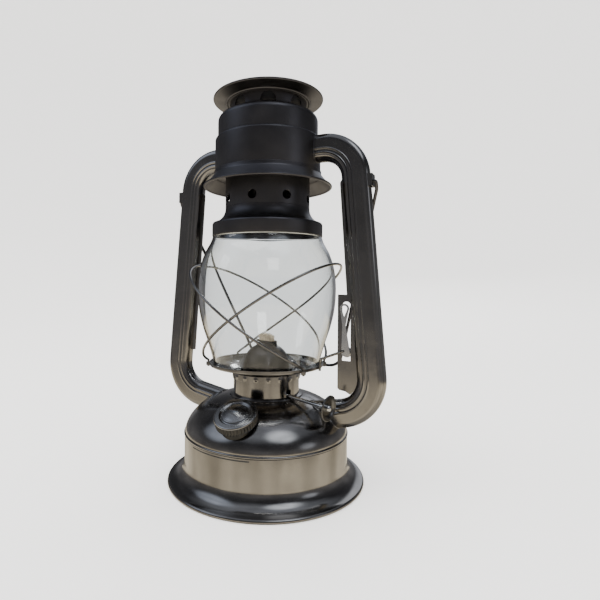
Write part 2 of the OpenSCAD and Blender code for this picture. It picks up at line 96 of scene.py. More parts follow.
class Maker:
    """Builds one material's node tree with a Principled shader."""

    def __init__(self, name):
        self.material = bpy.data.materials.new(name)
        self.material.use_nodes = True
        self.tree = self.material.node_tree
        self.shader = self.tree.nodes["Principled BSDF"]
        self.coords = self.tree.nodes.new("ShaderNodeTexCoord").outputs["Object"]

    def set(self, **sockets):
        for name, value in sockets.items():
            self.shader.inputs[name.replace("_", " ")].default_value = value
        return self

    def link(self, a, b):
        self.tree.links.new(a, b)

    def noise(self, scale, detail, rough=0.55, stretch=(1, 1, 1)):
        mapping = self.tree.nodes.new("ShaderNodeMapping")
        mapping.inputs["Scale"].default_value = stretch
        self.link(self.coords, mapping.inputs["Vector"])
        node = self.tree.nodes.new("ShaderNodeTexNoise")
        node.inputs["Scale"].default_value = scale
        node.inputs["Detail"].default_value = detail
        node.inputs["Roughness"].default_value = rough
        self.link(mapping.outputs["Vector"], node.inputs["Vector"])
        return node.outputs["Fac"]

    def remap(self, value, low, high, to_low, to_high):
        node = self.tree.nodes.new("ShaderNodeMapRange")
        limits = {"From Min": low, "From Max": high, "To Min": to_low, "To Max": to_high}
        for name, number in limits.items():
            node.inputs[name].default_value = number
        self.link(value, node.inputs["Value"])
        return node.outputs["Result"]

    def blend(self, factor, a, b):
        node = self.tree.nodes.new("ShaderNodeMix")
        node.data_type = "RGBA"
        for socket, value in ((node.inputs[6], a), (node.inputs[7], b)):
            if hasattr(value, "is_output"):
                self.link(value, socket)
            else:
                socket.default_value = (*value, 1)
        self.link(factor, node.inputs["Factor"])
        return node.outputs[2]

    def bump(self, height, strength, distance):
        """Adds relief on top of any relief that the shader already has."""
        node = self.tree.nodes.new("ShaderNodeBump")
        node.inputs["Strength"].default_value = strength
        node.inputs["Distance"].default_value = distance
        self.link(height, node.inputs["Height"])
        previous = self.shader.inputs["Normal"].links
        if previous:
            self.link(previous[0].from_socket, node.inputs["Normal"])
        self.link(node.outputs["Normal"], self.shader.inputs["Normal"])
        return self

    def colour(self, socket):
        self.link(socket, self.shader.inputs["Base Color"])
        return self

    def roughness(self, socket):
        self.link(socket, self.shader.inputs["Roughness"])
        return self


# Depth of the sheet's slow ripples and of its grain, in metres
SHEET_WAVE, GRAIN_DEPTH = 0.00012, 0.00002


def plated(name, light, dark, rough, smudge=0.12):
    """Plated sheet metal: slow ripples, smudged gloss and a fine grain."""
    m = Maker(name).set(Metallic=1.0)
    cloud = m.noise(24, 4)
    m.colour(m.blend(m.remap(cloud, 0.35, 0.65, 0, 1), dark, light))
    m.roughness(m.remap(m.noise(70, 6, 0.7), 0.3, 0.7, rough - smudge / 2, rough + smudge / 2))
    m.bump(m.noise(16, 1.5, 0.4), 0.5, SHEET_WAVE)
    m.bump(m.noise(1600, 2), 0.12, GRAIN_DEPTH)
    return m.material


def glass_material():
    """Clear glass with slow ripples and faint smears."""
    m = Maker("clear_glass").set(Base_Color=(0.93, 0.95, 0.95, 1), IOR=1.5)
    m.set(Transmission_Weight=1.0)
    m.roughness(m.remap(m.noise(45, 4), 0.4, 0.75, 0.0, 0.035))
    m.bump(m.noise(14, 1.2, 0.4), 0.35, 0.0003)
    return m.material


def cotton_material():
    """Unbleached cotton with threads along the wick."""
    m = Maker("cotton").set(Sheen_Weight=0.5, Roughness=0.95)
    threads = m.noise(900, 2, 0.5, (1, 1, 0.12))
    m.colour(m.blend(m.remap(threads, 0.3, 0.7, 0, 1), (0.5, 0.38, 0.23), (0.9, 0.79, 0.6)))
    m.bump(threads, 0.8, 0.0003)
    return m.material


def dull_material(name, light, dark, rough, grain):
    """Rubber or paint: a matt finish with fine specks."""
    m = Maker(name)
    speck = m.noise(grain, 5, 0.65)
    m.colour(m.blend(m.remap(speck, 0.35, 0.7, 0, 1), dark, light))
    m.roughness(m.remap(speck, 0.3, 0.7, rough - 0.08, rough + 0.08))
    m.bump(speck, 0.2, 0.00005)
    return m.material


STEEL = plated("plated_steel", (0.28, 0.268, 0.255), (0.235, 0.224, 0.212), 0.17)
HOOD = plated("hood_steel", (0.12, 0.116, 0.122), (0.09, 0.087, 0.092), 0.4)
BRIGHT = plated("bright_steel", (0.78, 0.78, 0.77), (0.68, 0.68, 0.67), 0.17)
CAP = plated("cap_steel", (0.33, 0.325, 0.32), (0.24, 0.236, 0.232), 0.2)
# A dim copy of the cap's steel: painted shade for the knurls' grooves and for the neck in the cap's shadow.
CAP_PAINTED_SHADE = plated("cap_painted_shade", (0.09, 0.087, 0.082), (0.05, 0.048, 0.046), 0.3)
# Steel much dimmer than the rivet's bright steel: painted shade standing for the dark reflections in the
# knob's dish.
KNOB = plated("knob_painted_shade", (0.2, 0.198, 0.195), (0.14, 0.138, 0.136), 0.2)
BURNER = plated("burner_metal", (0.035, 0.033, 0.034), (0.018, 0.017, 0.018), 0.34, smudge=0.2)
GLASS = glass_material()
COTTON = cotton_material()
RUBBER = dull_material("seal_rubber", (0.035, 0.035, 0.035), (0.015, 0.015, 0.015), 0.7, 900)
PAINT = dull_material("fill_paint", (0.02, 0.02, 0.02), (0.01, 0.01, 0.01), 0.5, 500)
# The record's material slots, and what each looks like
SLOT_MATERIALS = {
    "plated_steel": STEEL, "hood_steel": HOOD, "bright_steel": BRIGHT, "burner_metal": BURNER,
    "clear_glass": GLASS, "cotton": COTTON, "seal_rubber": RUBBER,
}
# Edges of the design sharper than this stay sharp, in degrees
CAD_SHARP = 32


def dress_cad_nodes():
    """Each piece of the design gets its slot's material. Finer pieces replace many of them below."""
    for row in frame["record"]["subparts"]:
        mesh = NODES[row["node"]].data
        mesh.materials.clear()
        mesh.materials.append(SLOT_MATERIALS[row["material_slot"]])
        mesh.shade_smooth()
        mesh.set_sharp_from_angle(angle=math.radians(CAD_SHARP))


dress_cad_nodes()


# ---- Outlines, in millimetres: a point is (radius, height) ----

# Thickness of the sheet metal
SHEET = 0.8
# A corner flatter than this isn't rounded
STRAIGHT = math.radians(155)


def arc(mid, r, start, end, n):
    """Points along an arc, from one angle to another, in degrees."""
    angles = [math.radians(start + (end - start) * k / n) for k in range(n + 1)]
    return [(mid[0] + r * math.cos(a), mid[1] + r * math.sin(a)) for a in angles]


def smooth(points, n):
    """A smooth curve through the points, n steps to a stretch."""
    p = [Vector(q) for q in points]
    out = []
    for i in range(len(p) - 1):
        a, b, c, d = p[max(i - 1, 0)], p[i], p[i + 1], p[min(i + 2, len(p) - 1)]
        bend, twist = 2 * a - 5 * b + 4 * c - d, 3 * b - a - 3 * c + d
        for k in range(n):
            t = k / n
            out.append(0.5 * (2 * b + (c - a) * t + bend * t * t + twist * t ** 3))
    return [tuple(q) for q in out] + [tuple(p[-1])]


def inset(points, t):
    """The outline moved to its left by t."""
    out = []
    last = len(points) - 1
    for i, p in enumerate(points):
        a, b = points[max(i - 1, 0)], points[min(i + 1, last)]
        d = Vector((b[0] - a[0], b[1] - a[1])).normalized()
        out.append((p[0] - d.y * t, p[1] + d.x * t))
    return out


def eased(outline, reach):
    """A closed outline with its corners rounded over a short reach, except at the axis."""
    out = []
    for i, p in enumerate(outline):
        b = Vector(p)
        a, c = Vector(outline[i - 1]), Vector(outline[(i + 1) % len(outline)])
        u, v = a - b, c - b
        if b.x < 0.01 or min(u.length, v.length) < 1e-6 or u.angle(v) > STRAIGHT:
            out.append(p)
            continue
        u = u.normalized() * min(reach, 0.45 * u.length)
        v = v.normalized() * min(reach, 0.45 * v.length)
        for t in (0, 0.25, 0.5, 0.75, 1):
            out.append(tuple(b + u * (1 - t) ** 2 + v * t ** 2))
    return out


def shell(points, t=SHEET, ease=0.3):
    """A sheet of thickness t whose outer face follows the points."""
    return eased(list(points) + inset(points, t)[::-1], ease)


# ---- Pieces ----

def quads(here, there, n):
    """Faces between two rings of n vertices, given the first vertex of each."""
    return [(here + k, here + (k + 1) % n, there + (k + 1) % n, there + k) for k in range(n)]


def add_piece(name, verts, faces, material, body, nodes=(), slot=None, place=None, sharp=34):
    """A mesh piece, drawn in millimetres. It rides its body, if it has one, and stands for the nodes."""
    mesh = bpy.data.meshes.new(name)
    mesh.from_pydata([Vector(v) * MM for v in verts], [], faces)
    bm = bmesh.new()
    bm.from_mesh(mesh)
    bmesh.ops.remove_doubles(bm, verts=bm.verts, dist=1e-7)
    bmesh.ops.recalc_face_normals(bm, faces=bm.faces)
    bm.to_mesh(mesh)
    bm.free()
    if place is not None:
        mesh.transform(place)
    mesh.materials.append(material)
    mesh.shade_smooth()
    mesh.set_sharp_from_angle(angle=math.radians(sharp))
    piece = bpy.data.objects.new(name, mesh)
    bpy.context.scene.collection.objects.link(piece)
    if body:
        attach(piece, body)
    if nodes:
        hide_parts(*nodes)
    return piece


def lathe(name, outlines, material, body, nodes=(), place=None, ripple=None, steps=TURN_STEPS, **more):
    """Turned closed outlines. ripple(r, z, angle) may change the radius round the turn."""
    verts, faces = [], []
    for outline in outlines:
        first, n = len(verts), len(outline)
        for k in range(steps):
            a = 2 * math.pi * k / steps
            for r, z in outline:
                r = ripple(r, z, a) if ripple else r
                verts.append((r * math.cos(a), r * math.sin(a), z))
        for k in range(steps):
            faces += quads(first + k * n, first + (k + 1) % steps * n, n)
    return add_piece(name, verts, faces, material, body, nodes, place=place, **more)


def rounded_route(corners, radii, n):
    """A route in space with its corners rounded."""
    p = [Vector(c) for c in corners]
    out = [p[0]]
    for i, r in enumerate(radii, 1):
        a, b, c = p[i - 1], p[i], p[i + 1]
        u, v = (a - b).normalized(), (c - b).normalized()
        half = u.angle(v) / 2
        mid = b + (u + v).normalized() * r / math.sin(half)
        e = (b + u * r / math.tan(half) - mid).normalized()
        f = (b + v * r / math.tan(half) - mid).normalized()
        spread = math.pi - 2 * half
        for k in range(n + 1):
            t = k / n
            toward = math.sin(spread * (1 - t)) * e + math.sin(spread * t) * f
            out.append(mid + r * toward / math.sin(spread))
    return out + [p[-1]]


def ring_places(path, flat, closed=False):
    """Side and up directions at each point of a route; flat is the section's second direction."""
    flat = Vector(flat)
    last = len(path) - 1
    out = []
    for i, p in enumerate(path):
        a = path[i - 1] if closed else path[max(i - 1, 0)]
        b = path[(i + 1) % len(path)] if closed else path[min(i + 1, last)]
        ahead = (Vector(b) - Vector(a)).normalized()
        side = ahead.cross(flat).normalized()
        out.append((Vector(p), side, side.cross(ahead)))
    return out


def sweep(name, path, sections, material, body, flat, nodes=(), closed=False, **more):
    """Sections carried along a route; a second section inside the first makes a hollow tube."""
    verts, faces = [], []
    places = ring_places(path, flat, closed)
    count = len(places)
    starts = []
    for section in sections:
        starts.append(len(verts))
        for p, side, up in places:
            verts += [p + side * x + up * y for x, y in section]
        n = len(section)
        for i in range(count if closed else count - 1):
            faces += quads(starts[-1] + i * n, starts[-1] + (i + 1) % count * n, n)
    n = len(sections[0])
    if not closed:
        for i in (0, count - 1):
            ends = [s + i * n for s in starts]
            if len(ends) == 1:
                faces.append(tuple(range(ends[0], ends[0] + n)))
            else:
                faces += quads(ends[0], ends[1], n)
    return add_piece(name, verts, faces, material, body, nodes, **more)


def disc(r, n):
    """The round section of a wire."""
    return [(r * math.cos(2 * math.pi * k / n), r * math.sin(2 * math.pi * k / n)) for k in range(n)]


BEVEL_WIDTH = 0.2
KEPT_EDGES = ("left_ear", "right_ear", "tube_seams", "lift_guide", "lift_tab", "tab_rivet", "guard_clips",
              "burner_collar", "burner_cone")


def soften(node):
    """A small bevel on a piece that keeps its shape from the design."""
    bevel = NODES[node].modifiers.new("bevel", "BEVEL")
    bevel.width = BEVEL_WIDTH * MM
    bevel.segments = 2
    bevel.limit_method = "ANGLE"
    bevel.angle_limit = math.radians(40)
    bevel.harden_normals = True


# ---- Tank ----

WALL_R = 65.0
FLARE_R = 12.2
FOOT_Z = 3.0
RIM_R, RIM_WIRE = 76.4, 1.6
SEAM_Z = 37.6
DOME_R = WALL_R - 0.4
DOME_BASE = SEAM_Z + 1.3
DOME_TOP = 66.0
DOME_POWER = 1.75
COLLAR_R = 26.5
FILL_Z = 35.0
# The fill line's section: past the wall, and above the middle of the line
FILL_SECTION = ((-0.05, -0.5), (0.06, -0.45), (0.06, 0.45), (-0.05, 0.5))


def dome_point(a):
    """A point of the dome's outline: angle 0 is its edge and a quarter turn its top."""
    power = 2 / DOME_POWER
    r = COLLAR_R + (DOME_R - COLLAR_R) * max(math.cos(a), 0) ** power
    return r, DOME_BASE + (DOME_TOP - DOME_BASE) * math.sin(a) ** power


def dome_height(r):
    """Height of the dome's outer face at a radius."""
    u = min(max((r - COLLAR_R) / (DOME_R - COLLAR_R), 0), 1)
    return DOME_BASE + (DOME_TOP - DOME_BASE) * (1 - u ** DOME_POWER) ** (1 / DOME_POWER)


def make_tank():
    wall = arc((WALL_R + FLARE_R, FOOT_Z + FLARE_R), FLARE_R, 270, 180, 32) + [(WALL_R, SEAM_Z - 0.9)]
    rim = [(r, max(z, 0)) for r, z in arc((RIM_R, 1.4), RIM_WIRE, 0, 354, 59)]
    lathe("foot_and_wall", [shell(wall), rim], STEEL, "frame", ["tank_skirt"])
    lathe("wall_seam", [arc((WALL_R - 0.6, SEAM_Z), 1.1, 0, 350, 35)], STEEL, "frame", ["tank_seam"])
    dome = [(DOME_R, DOME_BASE - 0.4)] + [dome_point(math.pi / 2 * k / 64) for k in range(65)]
    lathe("dome", [shell(dome)], STEEL, "frame", ["tank_dome"])
    make_fill_line()


def make_fill_line():
    """A plain printed line round the front left of the wall: the height that oil may reach."""
    start, end, steps = math.radians(-28), math.radians(17), 48
    verts, faces, n = [], [], len(FILL_SECTION)
    for k in range(steps + 1):
        a = start + (end - start) * k / steps
        for past, up in FILL_SECTION:
            r = WALL_R + past
            verts.append((r * math.sin(a), -r * math.cos(a), FILL_Z + up))
    for k in range(steps):
        faces += quads(n * k, n * (k + 1), n)
    faces += [tuple(range(n)), tuple(range(n * steps, n * steps + n))]
    add_piece("fill_line", verts, faces, PAINT, "frame", slot="seal_rubber")


# ---- Filler ----

# The cap's own frame: the filler stands at the front of the dome and leans forward with its slope
FILLER = (Matrix.Rotation(math.radians(4), 4, "Z") @ Matrix.Translation(Vector((0, -55.5, 64)) * MM)
          @ Matrix.Rotation(math.radians(26), 4, "X"))
CAP_R, CAP_INNER_R = 15.7, 14.3
CAP_UNDER, CAP_LOW = -1.38, -6.5
CAP_DOME_R, CAP_RISE = 8.8, 1.4
KNURLS, KNURL_DEPTH = 44, 0.7


def make_cap():
    """A bright top with a raised ring and a domed middle, over a knurled skirt darkened with painted shade.
    """
    top = [(0, CAP_UNDER)] + arc((14.7, -1.0), 1.0, -22, 80, 10) + [(14.1, 0.15), (12.2, 0.1)]
    top += arc((11.9, -0.3), 0.45, 80, 180, 5) + arc((10.3, -0.35), 0.7, -20, -160, 6)
    top += arc((9.1, -0.3), 0.5, 0, 80, 4)
    middle = [8.6 * (1 - k / 16) for k in range(17)]
    top += [(r, 0.2 + CAP_RISE * (1 - (r / CAP_DOME_R) ** 2)) for r in middle]
    skirt = [(CAP_INNER_R, CAP_UNDER), (CAP_INNER_R, CAP_LOW), (CAP_R - 0.2, CAP_LOW),
             (CAP_R, -6.2), (CAP_R, CAP_UNDER)]

    def knurl(r, z, a):
        if r < CAP_R - 0.25 or z < -6.3:
            return r
        return r - KNURL_DEPTH * (0.5 + 0.5 * math.cos(KNURLS * a)) ** 0.6

    lathe("filler_cap_skin", [top], CAP, "cap", ["filler_cap"], place=FILLER, slot="bright_steel")
    lathe("filler_cap_knurls", [skirt], CAP_PAINTED_SHADE, "cap",
          place=FILLER, ripple=knurl, steps=KNURLS * 8, slot="bright_steel")
    # The neck gets the same painted shade, standing for the shadow under the cap.
    NODES["filler_neck"].data.materials[0] = CAP_PAINTED_SHADE


# ---- Burner ----

BURNER_TURN = math.radians(-13)
# The wick shaft: its Z axis runs outward, a little below level, to the knob
SHAFT = (Matrix.Rotation(BURNER_TURN, 4, "Z") @ Matrix.Translation(Vector((0, -4.35, 70.9)) * MM)
         @ Matrix.Rotation(math.radians(95), 4, "Y"))
KNOB_OUT = 62.5
KNOB_R = 9.75
KNOB_TEETH = 40
RIVET_R = 2.6
BAND_TOP, BAND_HEIGHT = 84.2, 5
BAND_BUMPS = 18


def make_burner():
    make_knob()
    make_band()


def make_knob():
    """A dished disc with a scalloped rim, and the rivet that holds it. The dish's steel is dimmed with
    painted shade.
    """
    face = KNOB_OUT - 1.2
    knob = [(1.5, face - 2.5), (3.2, face - 2.5), (3.2, face - 0.9)]
    knob += smooth([(4.4, face - 0.8), (6, face - 0.6), (7.6, face + 0.5)], 5)
    knob += arc((KNOB_R - 0.75, face + 1.0), 0.72, -70, 150, 12)
    knob += smooth([(7.8, face + 1.3), (6, face + 0.3), (4, face), (1.5, face)], 5)

    def scallop(r, z, a):
        return r - (0.22 * (0.5 + 0.5 * math.cos(KNOB_TEETH * a)) if r > KNOB_R - 0.7 else 0)

    lathe("knob_dish", [eased(knob, 0.2)], KNOB, "wick_gear", ["wick_knob"],
          place=SHAFT, ripple=scallop, steps=KNOB_TEETH * 8, slot="bright_steel")
    rivet = [(0, KNOB_OUT - 1.3), (RIVET_R, KNOB_OUT - 1.3)]
    rivet += arc((0, KNOB_OUT - 0.6), RIVET_R, 0, 90, 10)[:-1] + [(0, KNOB_OUT + 2.0)]
    rivet = [(r, min(z, KNOB_OUT + 1.9)) for r, z in rivet]
    lathe("knob_rivet_head", [rivet], BRIGHT, "wick_gear", ["knob_rivet"], place=SHAFT)


def make_band():
    """The band round the burner, with a row of small bumps."""
    outer, low = COLLAR_R + SHEET, BAND_TOP - BAND_HEIGHT
    outline = [(COLLAR_R, low), (outer, low)] + [(outer, low + 0.25 * k) for k in range(1, 20)]
    outline += [(outer, BAND_TOP), (COLLAR_R, BAND_TOP)]

    def bumps(r, z, a):
        if r < outer - 0.1:
            return r
        step = 2 * math.pi / BAND_BUMPS
        off = (a + step / 2) % step - step / 2
        d2 = (off * outer) ** 2 + (z - BAND_TOP + 2.5) ** 2
        return r + 0.5 * math.exp(-d2 / 0.9)

    lathe("dimpled_band", [eased(outline, 0.2)], STEEL, "frame", ["burner_band"],
          ripple=bumps, steps=BAND_BUMPS * 40)


WICK_HALF, WICK_THICK = 8.2, 1.1
WICK_FOOT, WICK_TAPE_TOP, WICK_TIP = 24, 109, 115
STRANDS = 520


def make_wick():
    """The woven tape, frayed into a tuft of strands at the tip."""
    half = WICK_HALF
    section = [(half * math.copysign(abs(math.cos(a)) ** 0.35, math.cos(a)), WICK_THICK * math.sin(a))
               for a in [2 * math.pi * (k + 0.5) / 40 for k in range(40)]]
    verts, faces = [], []
    rows, n = 60, len(section)
    for i in range(rows + 1):
        z = WICK_FOOT + (WICK_TAPE_TOP - WICK_FOOT) * i / rows
        for x, y in section:
            weave = 1 + 0.03 * math.sin(z * 3.1) * math.cos(x * 4.0)
            verts.append((x, y * weave, z))
    for i in range(rows):
        faces += quads(i * n, (i + 1) * n, n)
    faces += [tuple(range(n)), tuple(range(rows * n, rows * n + n))]
    chance = random.Random(7)
    for _ in range(STRANDS):
        x, y = chance.uniform(-half + 0.9, half - 0.9), chance.uniform(-0.7, 0.7)
        top = WICK_TIP - 2.0 * (x / half) ** 2 - chance.uniform(0, 3.2)
        lean = Vector((0.8 * x / half + chance.uniform(-0.5, 0.5), 0.7 * y + chance.uniform(-1.0, 1.0), 0))
        strand(verts, faces, Vector((x, y, WICK_TAPE_TOP - 1.5)), lean, top, chance.uniform(0.12, 0.2))
    turn = Matrix.Rotation(BURNER_TURN, 4, "Z")
    add_piece("wick_tape", verts, faces, COTTON, "wick", ["wick"], place=turn, sharp=60)


def strand(verts, faces, foot, lean, top, r):
    """One tapered strand, added to the wick's vertices and faces."""
    first, sides, rings = len(verts), 5, 5
    for i in range(rings + 1):
        t = i / rings
        mid = foot + lean * t ** 3
        mid.z = foot.z + (top - foot.z) * t
        wide = r * (1 - 0.45 * t)
        for k in range(sides):
            a = 2 * math.pi * k / sides
            verts.append(mid + Vector((wide * math.cos(a), wide * math.sin(a), 0)))
    for i in range(rings):
        faces += quads(first + i * sides, first + (i + 1) * sides, sides)
    last = first + rings * sides
    faces += [tuple(range(first, first + sides)), tuple(range(last, last + sides))]


# ---- Side tubes ----

TUBE_W, TUBE_D, TUBE_CORNER = 21.0, 12.0, 5.0
TUBE_TOP, TUBE_X, PIVOT_Z = 258.6, 73.7, 230.0
TUBE_BENDS = (25, 27)
SPLAY = math.tan(math.radians(4.9))
FOOT_SLOPE, FOOT_HEIGHT = 0.19, 55.6
# How far out FOOT_HEIGHT is taken, and where the middle line ends, inside the dome
FOOT_X, FOOT_END = 50, 38
# Each rib's place across the tube and its height
RIBS = ((-1.4, 0.5), (-4.6, 0.5))
RIB_WIDTH = 0.55
CHAMBER_R = 42.5


def tube_corners():
    """The corners of a side tube's middle line, from the air chamber round to the inside of the dome."""
    low_z = (FOOT_HEIGHT + FOOT_SLOPE * (TUBE_X + PIVOT_Z * SPLAY - FOOT_X)) / (1 + FOOT_SLOPE * SPLAY)
    return [(CHAMBER_R - 1.6, 0, TUBE_TOP), (TUBE_X - (TUBE_TOP - PIVOT_Z) * SPLAY, 0, TUBE_TOP),
            (TUBE_X + (PIVOT_Z - low_z) * SPLAY, 0, low_z),
            (FOOT_END, 0, FOOT_HEIGHT + FOOT_SLOPE * (FOOT_END - FOOT_X))]


def tube_section(t, ribbed):
    """A rounded section with two low ribs on the front and the back."""
    w, d, c = TUBE_W / 2 - t, TUBE_D / 2 - t, TUBE_CORNER - t
    xs = [w - c - (w - c) * 2 * k / 52 for k in range(1, 52)]

    def rise(x):
        return sum(h * math.exp(-((x - at) / RIB_WIDTH) ** 2) for at, h in RIBS) if ribbed else 0

    front = [(x, d + rise(x)) for x in xs]
    back = [(x, -y) for x, y in front[::-1]]
    out = arc((w - c, d - c), c, 0, 90, 10) + front + arc((c - w, d - c), c, 90, 180, 10)
    return out + arc((c - w, c - d), c, 180, 270, 10) + back + arc((w - c, c - d), c, 270, 360, 10)[:-1]


def mirrored(points, side):
    """The points for one side of the lantern: 1 is the right and -1 the left."""
    return [Vector((side * p[0], p[1], p[2])) for p in points]


def make_tubes():
    path = rounded_route(tube_corners(), TUBE_BENDS, 40)
    sections = [tube_section(0, True), tube_section(SHEET, False)]
    for side, name in ((1, "right"), (-1, "left")):
        flat = (0, side, 0)
        sweep(f"{name}_air_tube", mirrored(path, side), sections, STEEL, "frame", flat, [f"{name}_tube"])
        foot, top = tube_joint_lines(path, sections[0])
        sweep(f"{name}_foot_solder", mirrored(foot, side), [disc(0.55, 10)], STEEL, "frame", (0, 0, 1),
              closed=True)
        sweep(f"{name}_top_solder", mirrored(top, side), [disc(0.5, 10)], HOOD, "frame", (1, 0, 0),
              closed=True)


def tube_joint_lines(path, section):
    """Where the tube's outside meets the dome and the air chamber."""
    foot, top = [], []
    low, side, up = ring_places(path, (0, 1, 0))[-1]
    back = (Vector(path[-2]) - Vector(path[-1])).normalized()
    for x, y in section[::2]:
        start = low + side * x + up * y
        near, far = 0.0, 34.0
        for _ in range(40):  # halves the stretch in which the tube leaves the dome
            t = (near + far) / 2
            p = start + back * t
            r = math.hypot(p.x, p.y)
            inside = r < DOME_R and p.z < dome_height(r)
            near, far = (t, far) if inside else (near, t)
        foot.append(start + back * near)
        top.append(Vector((math.sqrt(CHAMBER_R ** 2 - y * y), y, TUBE_TOP + x)))
    return foot, top


# ---- Wires ----

BAIL_WIRE, BAIL_REACH = 1.3, 160.0
BAIL_TIP_X, BAIL_LEG_X, BAIL_GRIP_X = 84.9, 88.1, 42.0
BAIL_REST = math.radians(22)
GUARD_WIRE = 1.0
GUARD_FOOT_R, GUARD_FOOT_Z = 47, 87.6
GUARD_MID_Z, GUARD_RISE = 129, 41
# A guard wire runs round from one foot to the other, in degrees from the front
GUARD_START, GUARD_END = -62, 242


def make_bail():
    """One wire: its ends go through the ears, its legs run down behind the tubes to the grip."""
    half = [(BAIL_TIP_X, 0, 0), (BAIL_LEG_X, 0, 0), (BAIL_LEG_X, 0, -6), (BAIL_GRIP_X, 0, -BAIL_REACH)]
    corners = half + [(-x, y, z) for x, y, z in half[::-1]]
    place = Matrix.Translation((0, 0, PIVOT_Z * MM)) @ Matrix.Rotation(BAIL_REST, 4, "X")
    path = rounded_route(corners, (1.7, 13, 13, 13, 13, 1.7), 12)
    sweep("bail_wire", path, [disc(BAIL_WIRE, 24)], HOOD, "bail", (0, 1, 0), ["bail"], place=place)


def guard_path(out):
    """A tilted loop round the globe, highest at the side and furthest out there."""
    def foot(angle):
        a = math.radians(angle)
        return (GUARD_FOOT_R * math.sin(a), -GUARD_FOOT_R * math.cos(a), GUARD_FOOT_Z)

    points = [foot(GUARD_START)]
    span, steps = GUARD_END - GUARD_START, 114
    for k in range(steps + 1):
        a = GUARD_START + span * k / steps
        s, c = math.sin(math.radians(a)), math.cos(math.radians(a))
        r = out - (out - GUARD_FOOT_R) * (abs(a - 90) / (span / 2)) ** 4
        points.append((r * s, -r * c, GUARD_MID_Z + GUARD_RISE * s))
    return points + [foot(GUARD_END)]


def make_guards():
    """The guard wires cross in front of the globe; the lift wire ties its plate to the lift tab."""
    for side, name, out in ((1, "right", 59.5), (-1, "left", 61.9)):
        path = mirrored(guard_path(out), side)
        sweep(f"guard_{name}", path, [disc(GUARD_WIRE, 16)], STEEL, "carriage", (0.001, 0, 1),
              [f"guard_wire_{name}"])
    wire = rounded_route([(47, -2.9, 88.8), (47, -2.9, 97.5), (65.3, -2.9, 105)], (3,), 10)
    sweep("lift_rod", wire, [disc(GUARD_WIRE, 16)], STEEL, "carriage", (0, 1, 0), ["lift_wire"])


# ---- Globe ----

GLOBE_FOOT, GLASS_WALL = 90, 2.2
# The outside of the glass, with heights above its foot
GLOBE_OUTLINE = ((43, 0), (43.8, 6.1), (47.4, 18.4), (51.4, 30.6), (54.5, 44.9), (55.5, 61.2), (54.2, 75.5),
                 (50.6, 87.7), (45.8, 96.9), (44, 102))


def make_globe():
    outer = smooth([(r, GLOBE_FOOT + z) for r, z in GLOBE_OUTLINE], 12)
    lathe("globe_glass", [shell(outer, GLASS_WALL, 0.9)], GLASS, "carriage", ["globe"], steps=192)


# ---- Chimney and hood ----

BELL_R = 44.5
BRIM_INNER_R, BRIM_Z = 30.2, 299
TOP_RISE, TOP_BEAD = 3, 0.25
CAN_R = 40.4


def make_chimney():
    bell = [(BELL_R, 192.3), (BELL_R, 201.7)] + arc((46.5, 215), 12.5, 258, 180, 28)
    lathe("bell", [shell(bell)], HOOD, "chimney", ["chimney_bell"])
    brim = [(BRIM_INNER_R, BRIM_Z), (32.2, BRIM_Z)] + arc((33.6, BRIM_Z + 0.9), 1.1, 200, 350, 12)
    brim += [(43, 301.6)] + arc((43.4, 302.4), 1.0, -60, 90, 14) + [(32, 300.9), (BRIM_INNER_R, 300)]
    lathe("brim", [eased(brim, 0.4)], HOOD, "chimney", ["chimney_brim"])
    lathe("top_cap", [top_outline() + [(BRIM_INNER_R, BRIM_Z), (0, 302)]], HOOD, "chimney", ["chimney_top"])


def top_outline():
    """A shallow dome in n steps, with a fine raised bead at one of them."""
    n, bead_at, bead_width = 40, 24, 1.6
    out = []
    for k in range(n + 1):
        bead = TOP_BEAD * math.exp(-((k - bead_at) / bead_width) ** 2)
        out.append((BRIM_INNER_R * k / n, 300 + TOP_RISE * (1 - (k / n) ** 2) + bead))
    return out


def make_hood():
    chamber = [(CHAMBER_R, 241), (CHAMBER_R, 266)] + arc((CHAMBER_R - 2, 268.5), 2, 0, 70, 12)
    lathe("chamber_wall", [shell(chamber)], HOOD, "frame", ["air_chamber"])
    can = [(CAN_R, 262), (CAN_R, 282)] + arc((CAN_R - 5, 284), 5, 0, 60, 16)
    can += smooth([(36.4, 289), (34.6, 290.1), (33, 290.5)], 4)
    lathe("hood_wall", [shell(can)], HOOD, "frame", ["hood_can"])
    skirt = smooth([(51.1, 232.2), (47, 236.6), (43.6, 240.8)], 6) + [(43.3, 241.6), (43.3, 244)]
    lathe("drip_ring", [shell(skirt), arc((50.9, 232.3), 1.0, 0, 350, 35)], HOOD, "frame", ["drip_skirt"])


# ---- Spring ----

SPRING_R, SPRING_WIRE = 34.5, 0.6
SPRING_LOW, SPRING_MID, SPRING_HIGH = 257.4, 272.3, 288.2
SPRING_START, SPRING_END = SPRING_LOW + SPRING_WIRE, SPRING_HIGH - SPRING_WIRE
SPRING_TURNS = 4


def coil(low, high):
    """The spring's middle line between two heights."""
    height = SPRING_END - SPRING_START
    steps = round(48 * SPRING_TURNS * (high - low) / height)
    out = []
    for k in range(steps + 1):
        z = low + (high - low) * k / steps
        a = 2 * math.pi * SPRING_TURNS * (z - SPRING_START) / height
        out.append((SPRING_R * math.cos(a), SPRING_R * math.sin(a), z))
    return out


def make_spring():
    """The spring in two pieces: the lower coils ride the carriage, and the upper coils stand for the
    design's spring.
    """
    wire = [disc(SPRING_WIRE, 12)]
    low = sweep("spring_low_coils", coil(SPRING_START, SPRING_MID), wire, BRIGHT, "carriage", (0, 0, 1))
    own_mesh(low)
    high = sweep("spring_high_coils", coil(SPRING_MID, SPRING_END), wire, BRIGHT, None, (0, 0, 1),
                 ["chimney_spring"])
    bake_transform(high)


make_tank()
make_cap()
make_burner()
make_wick()
make_tubes()
make_bail()
make_guards()
make_globe()
make_chimney()
make_hood()
make_spring()
for small in KEPT_EDGES:
    soften(small)


# ---- Stage and light ----

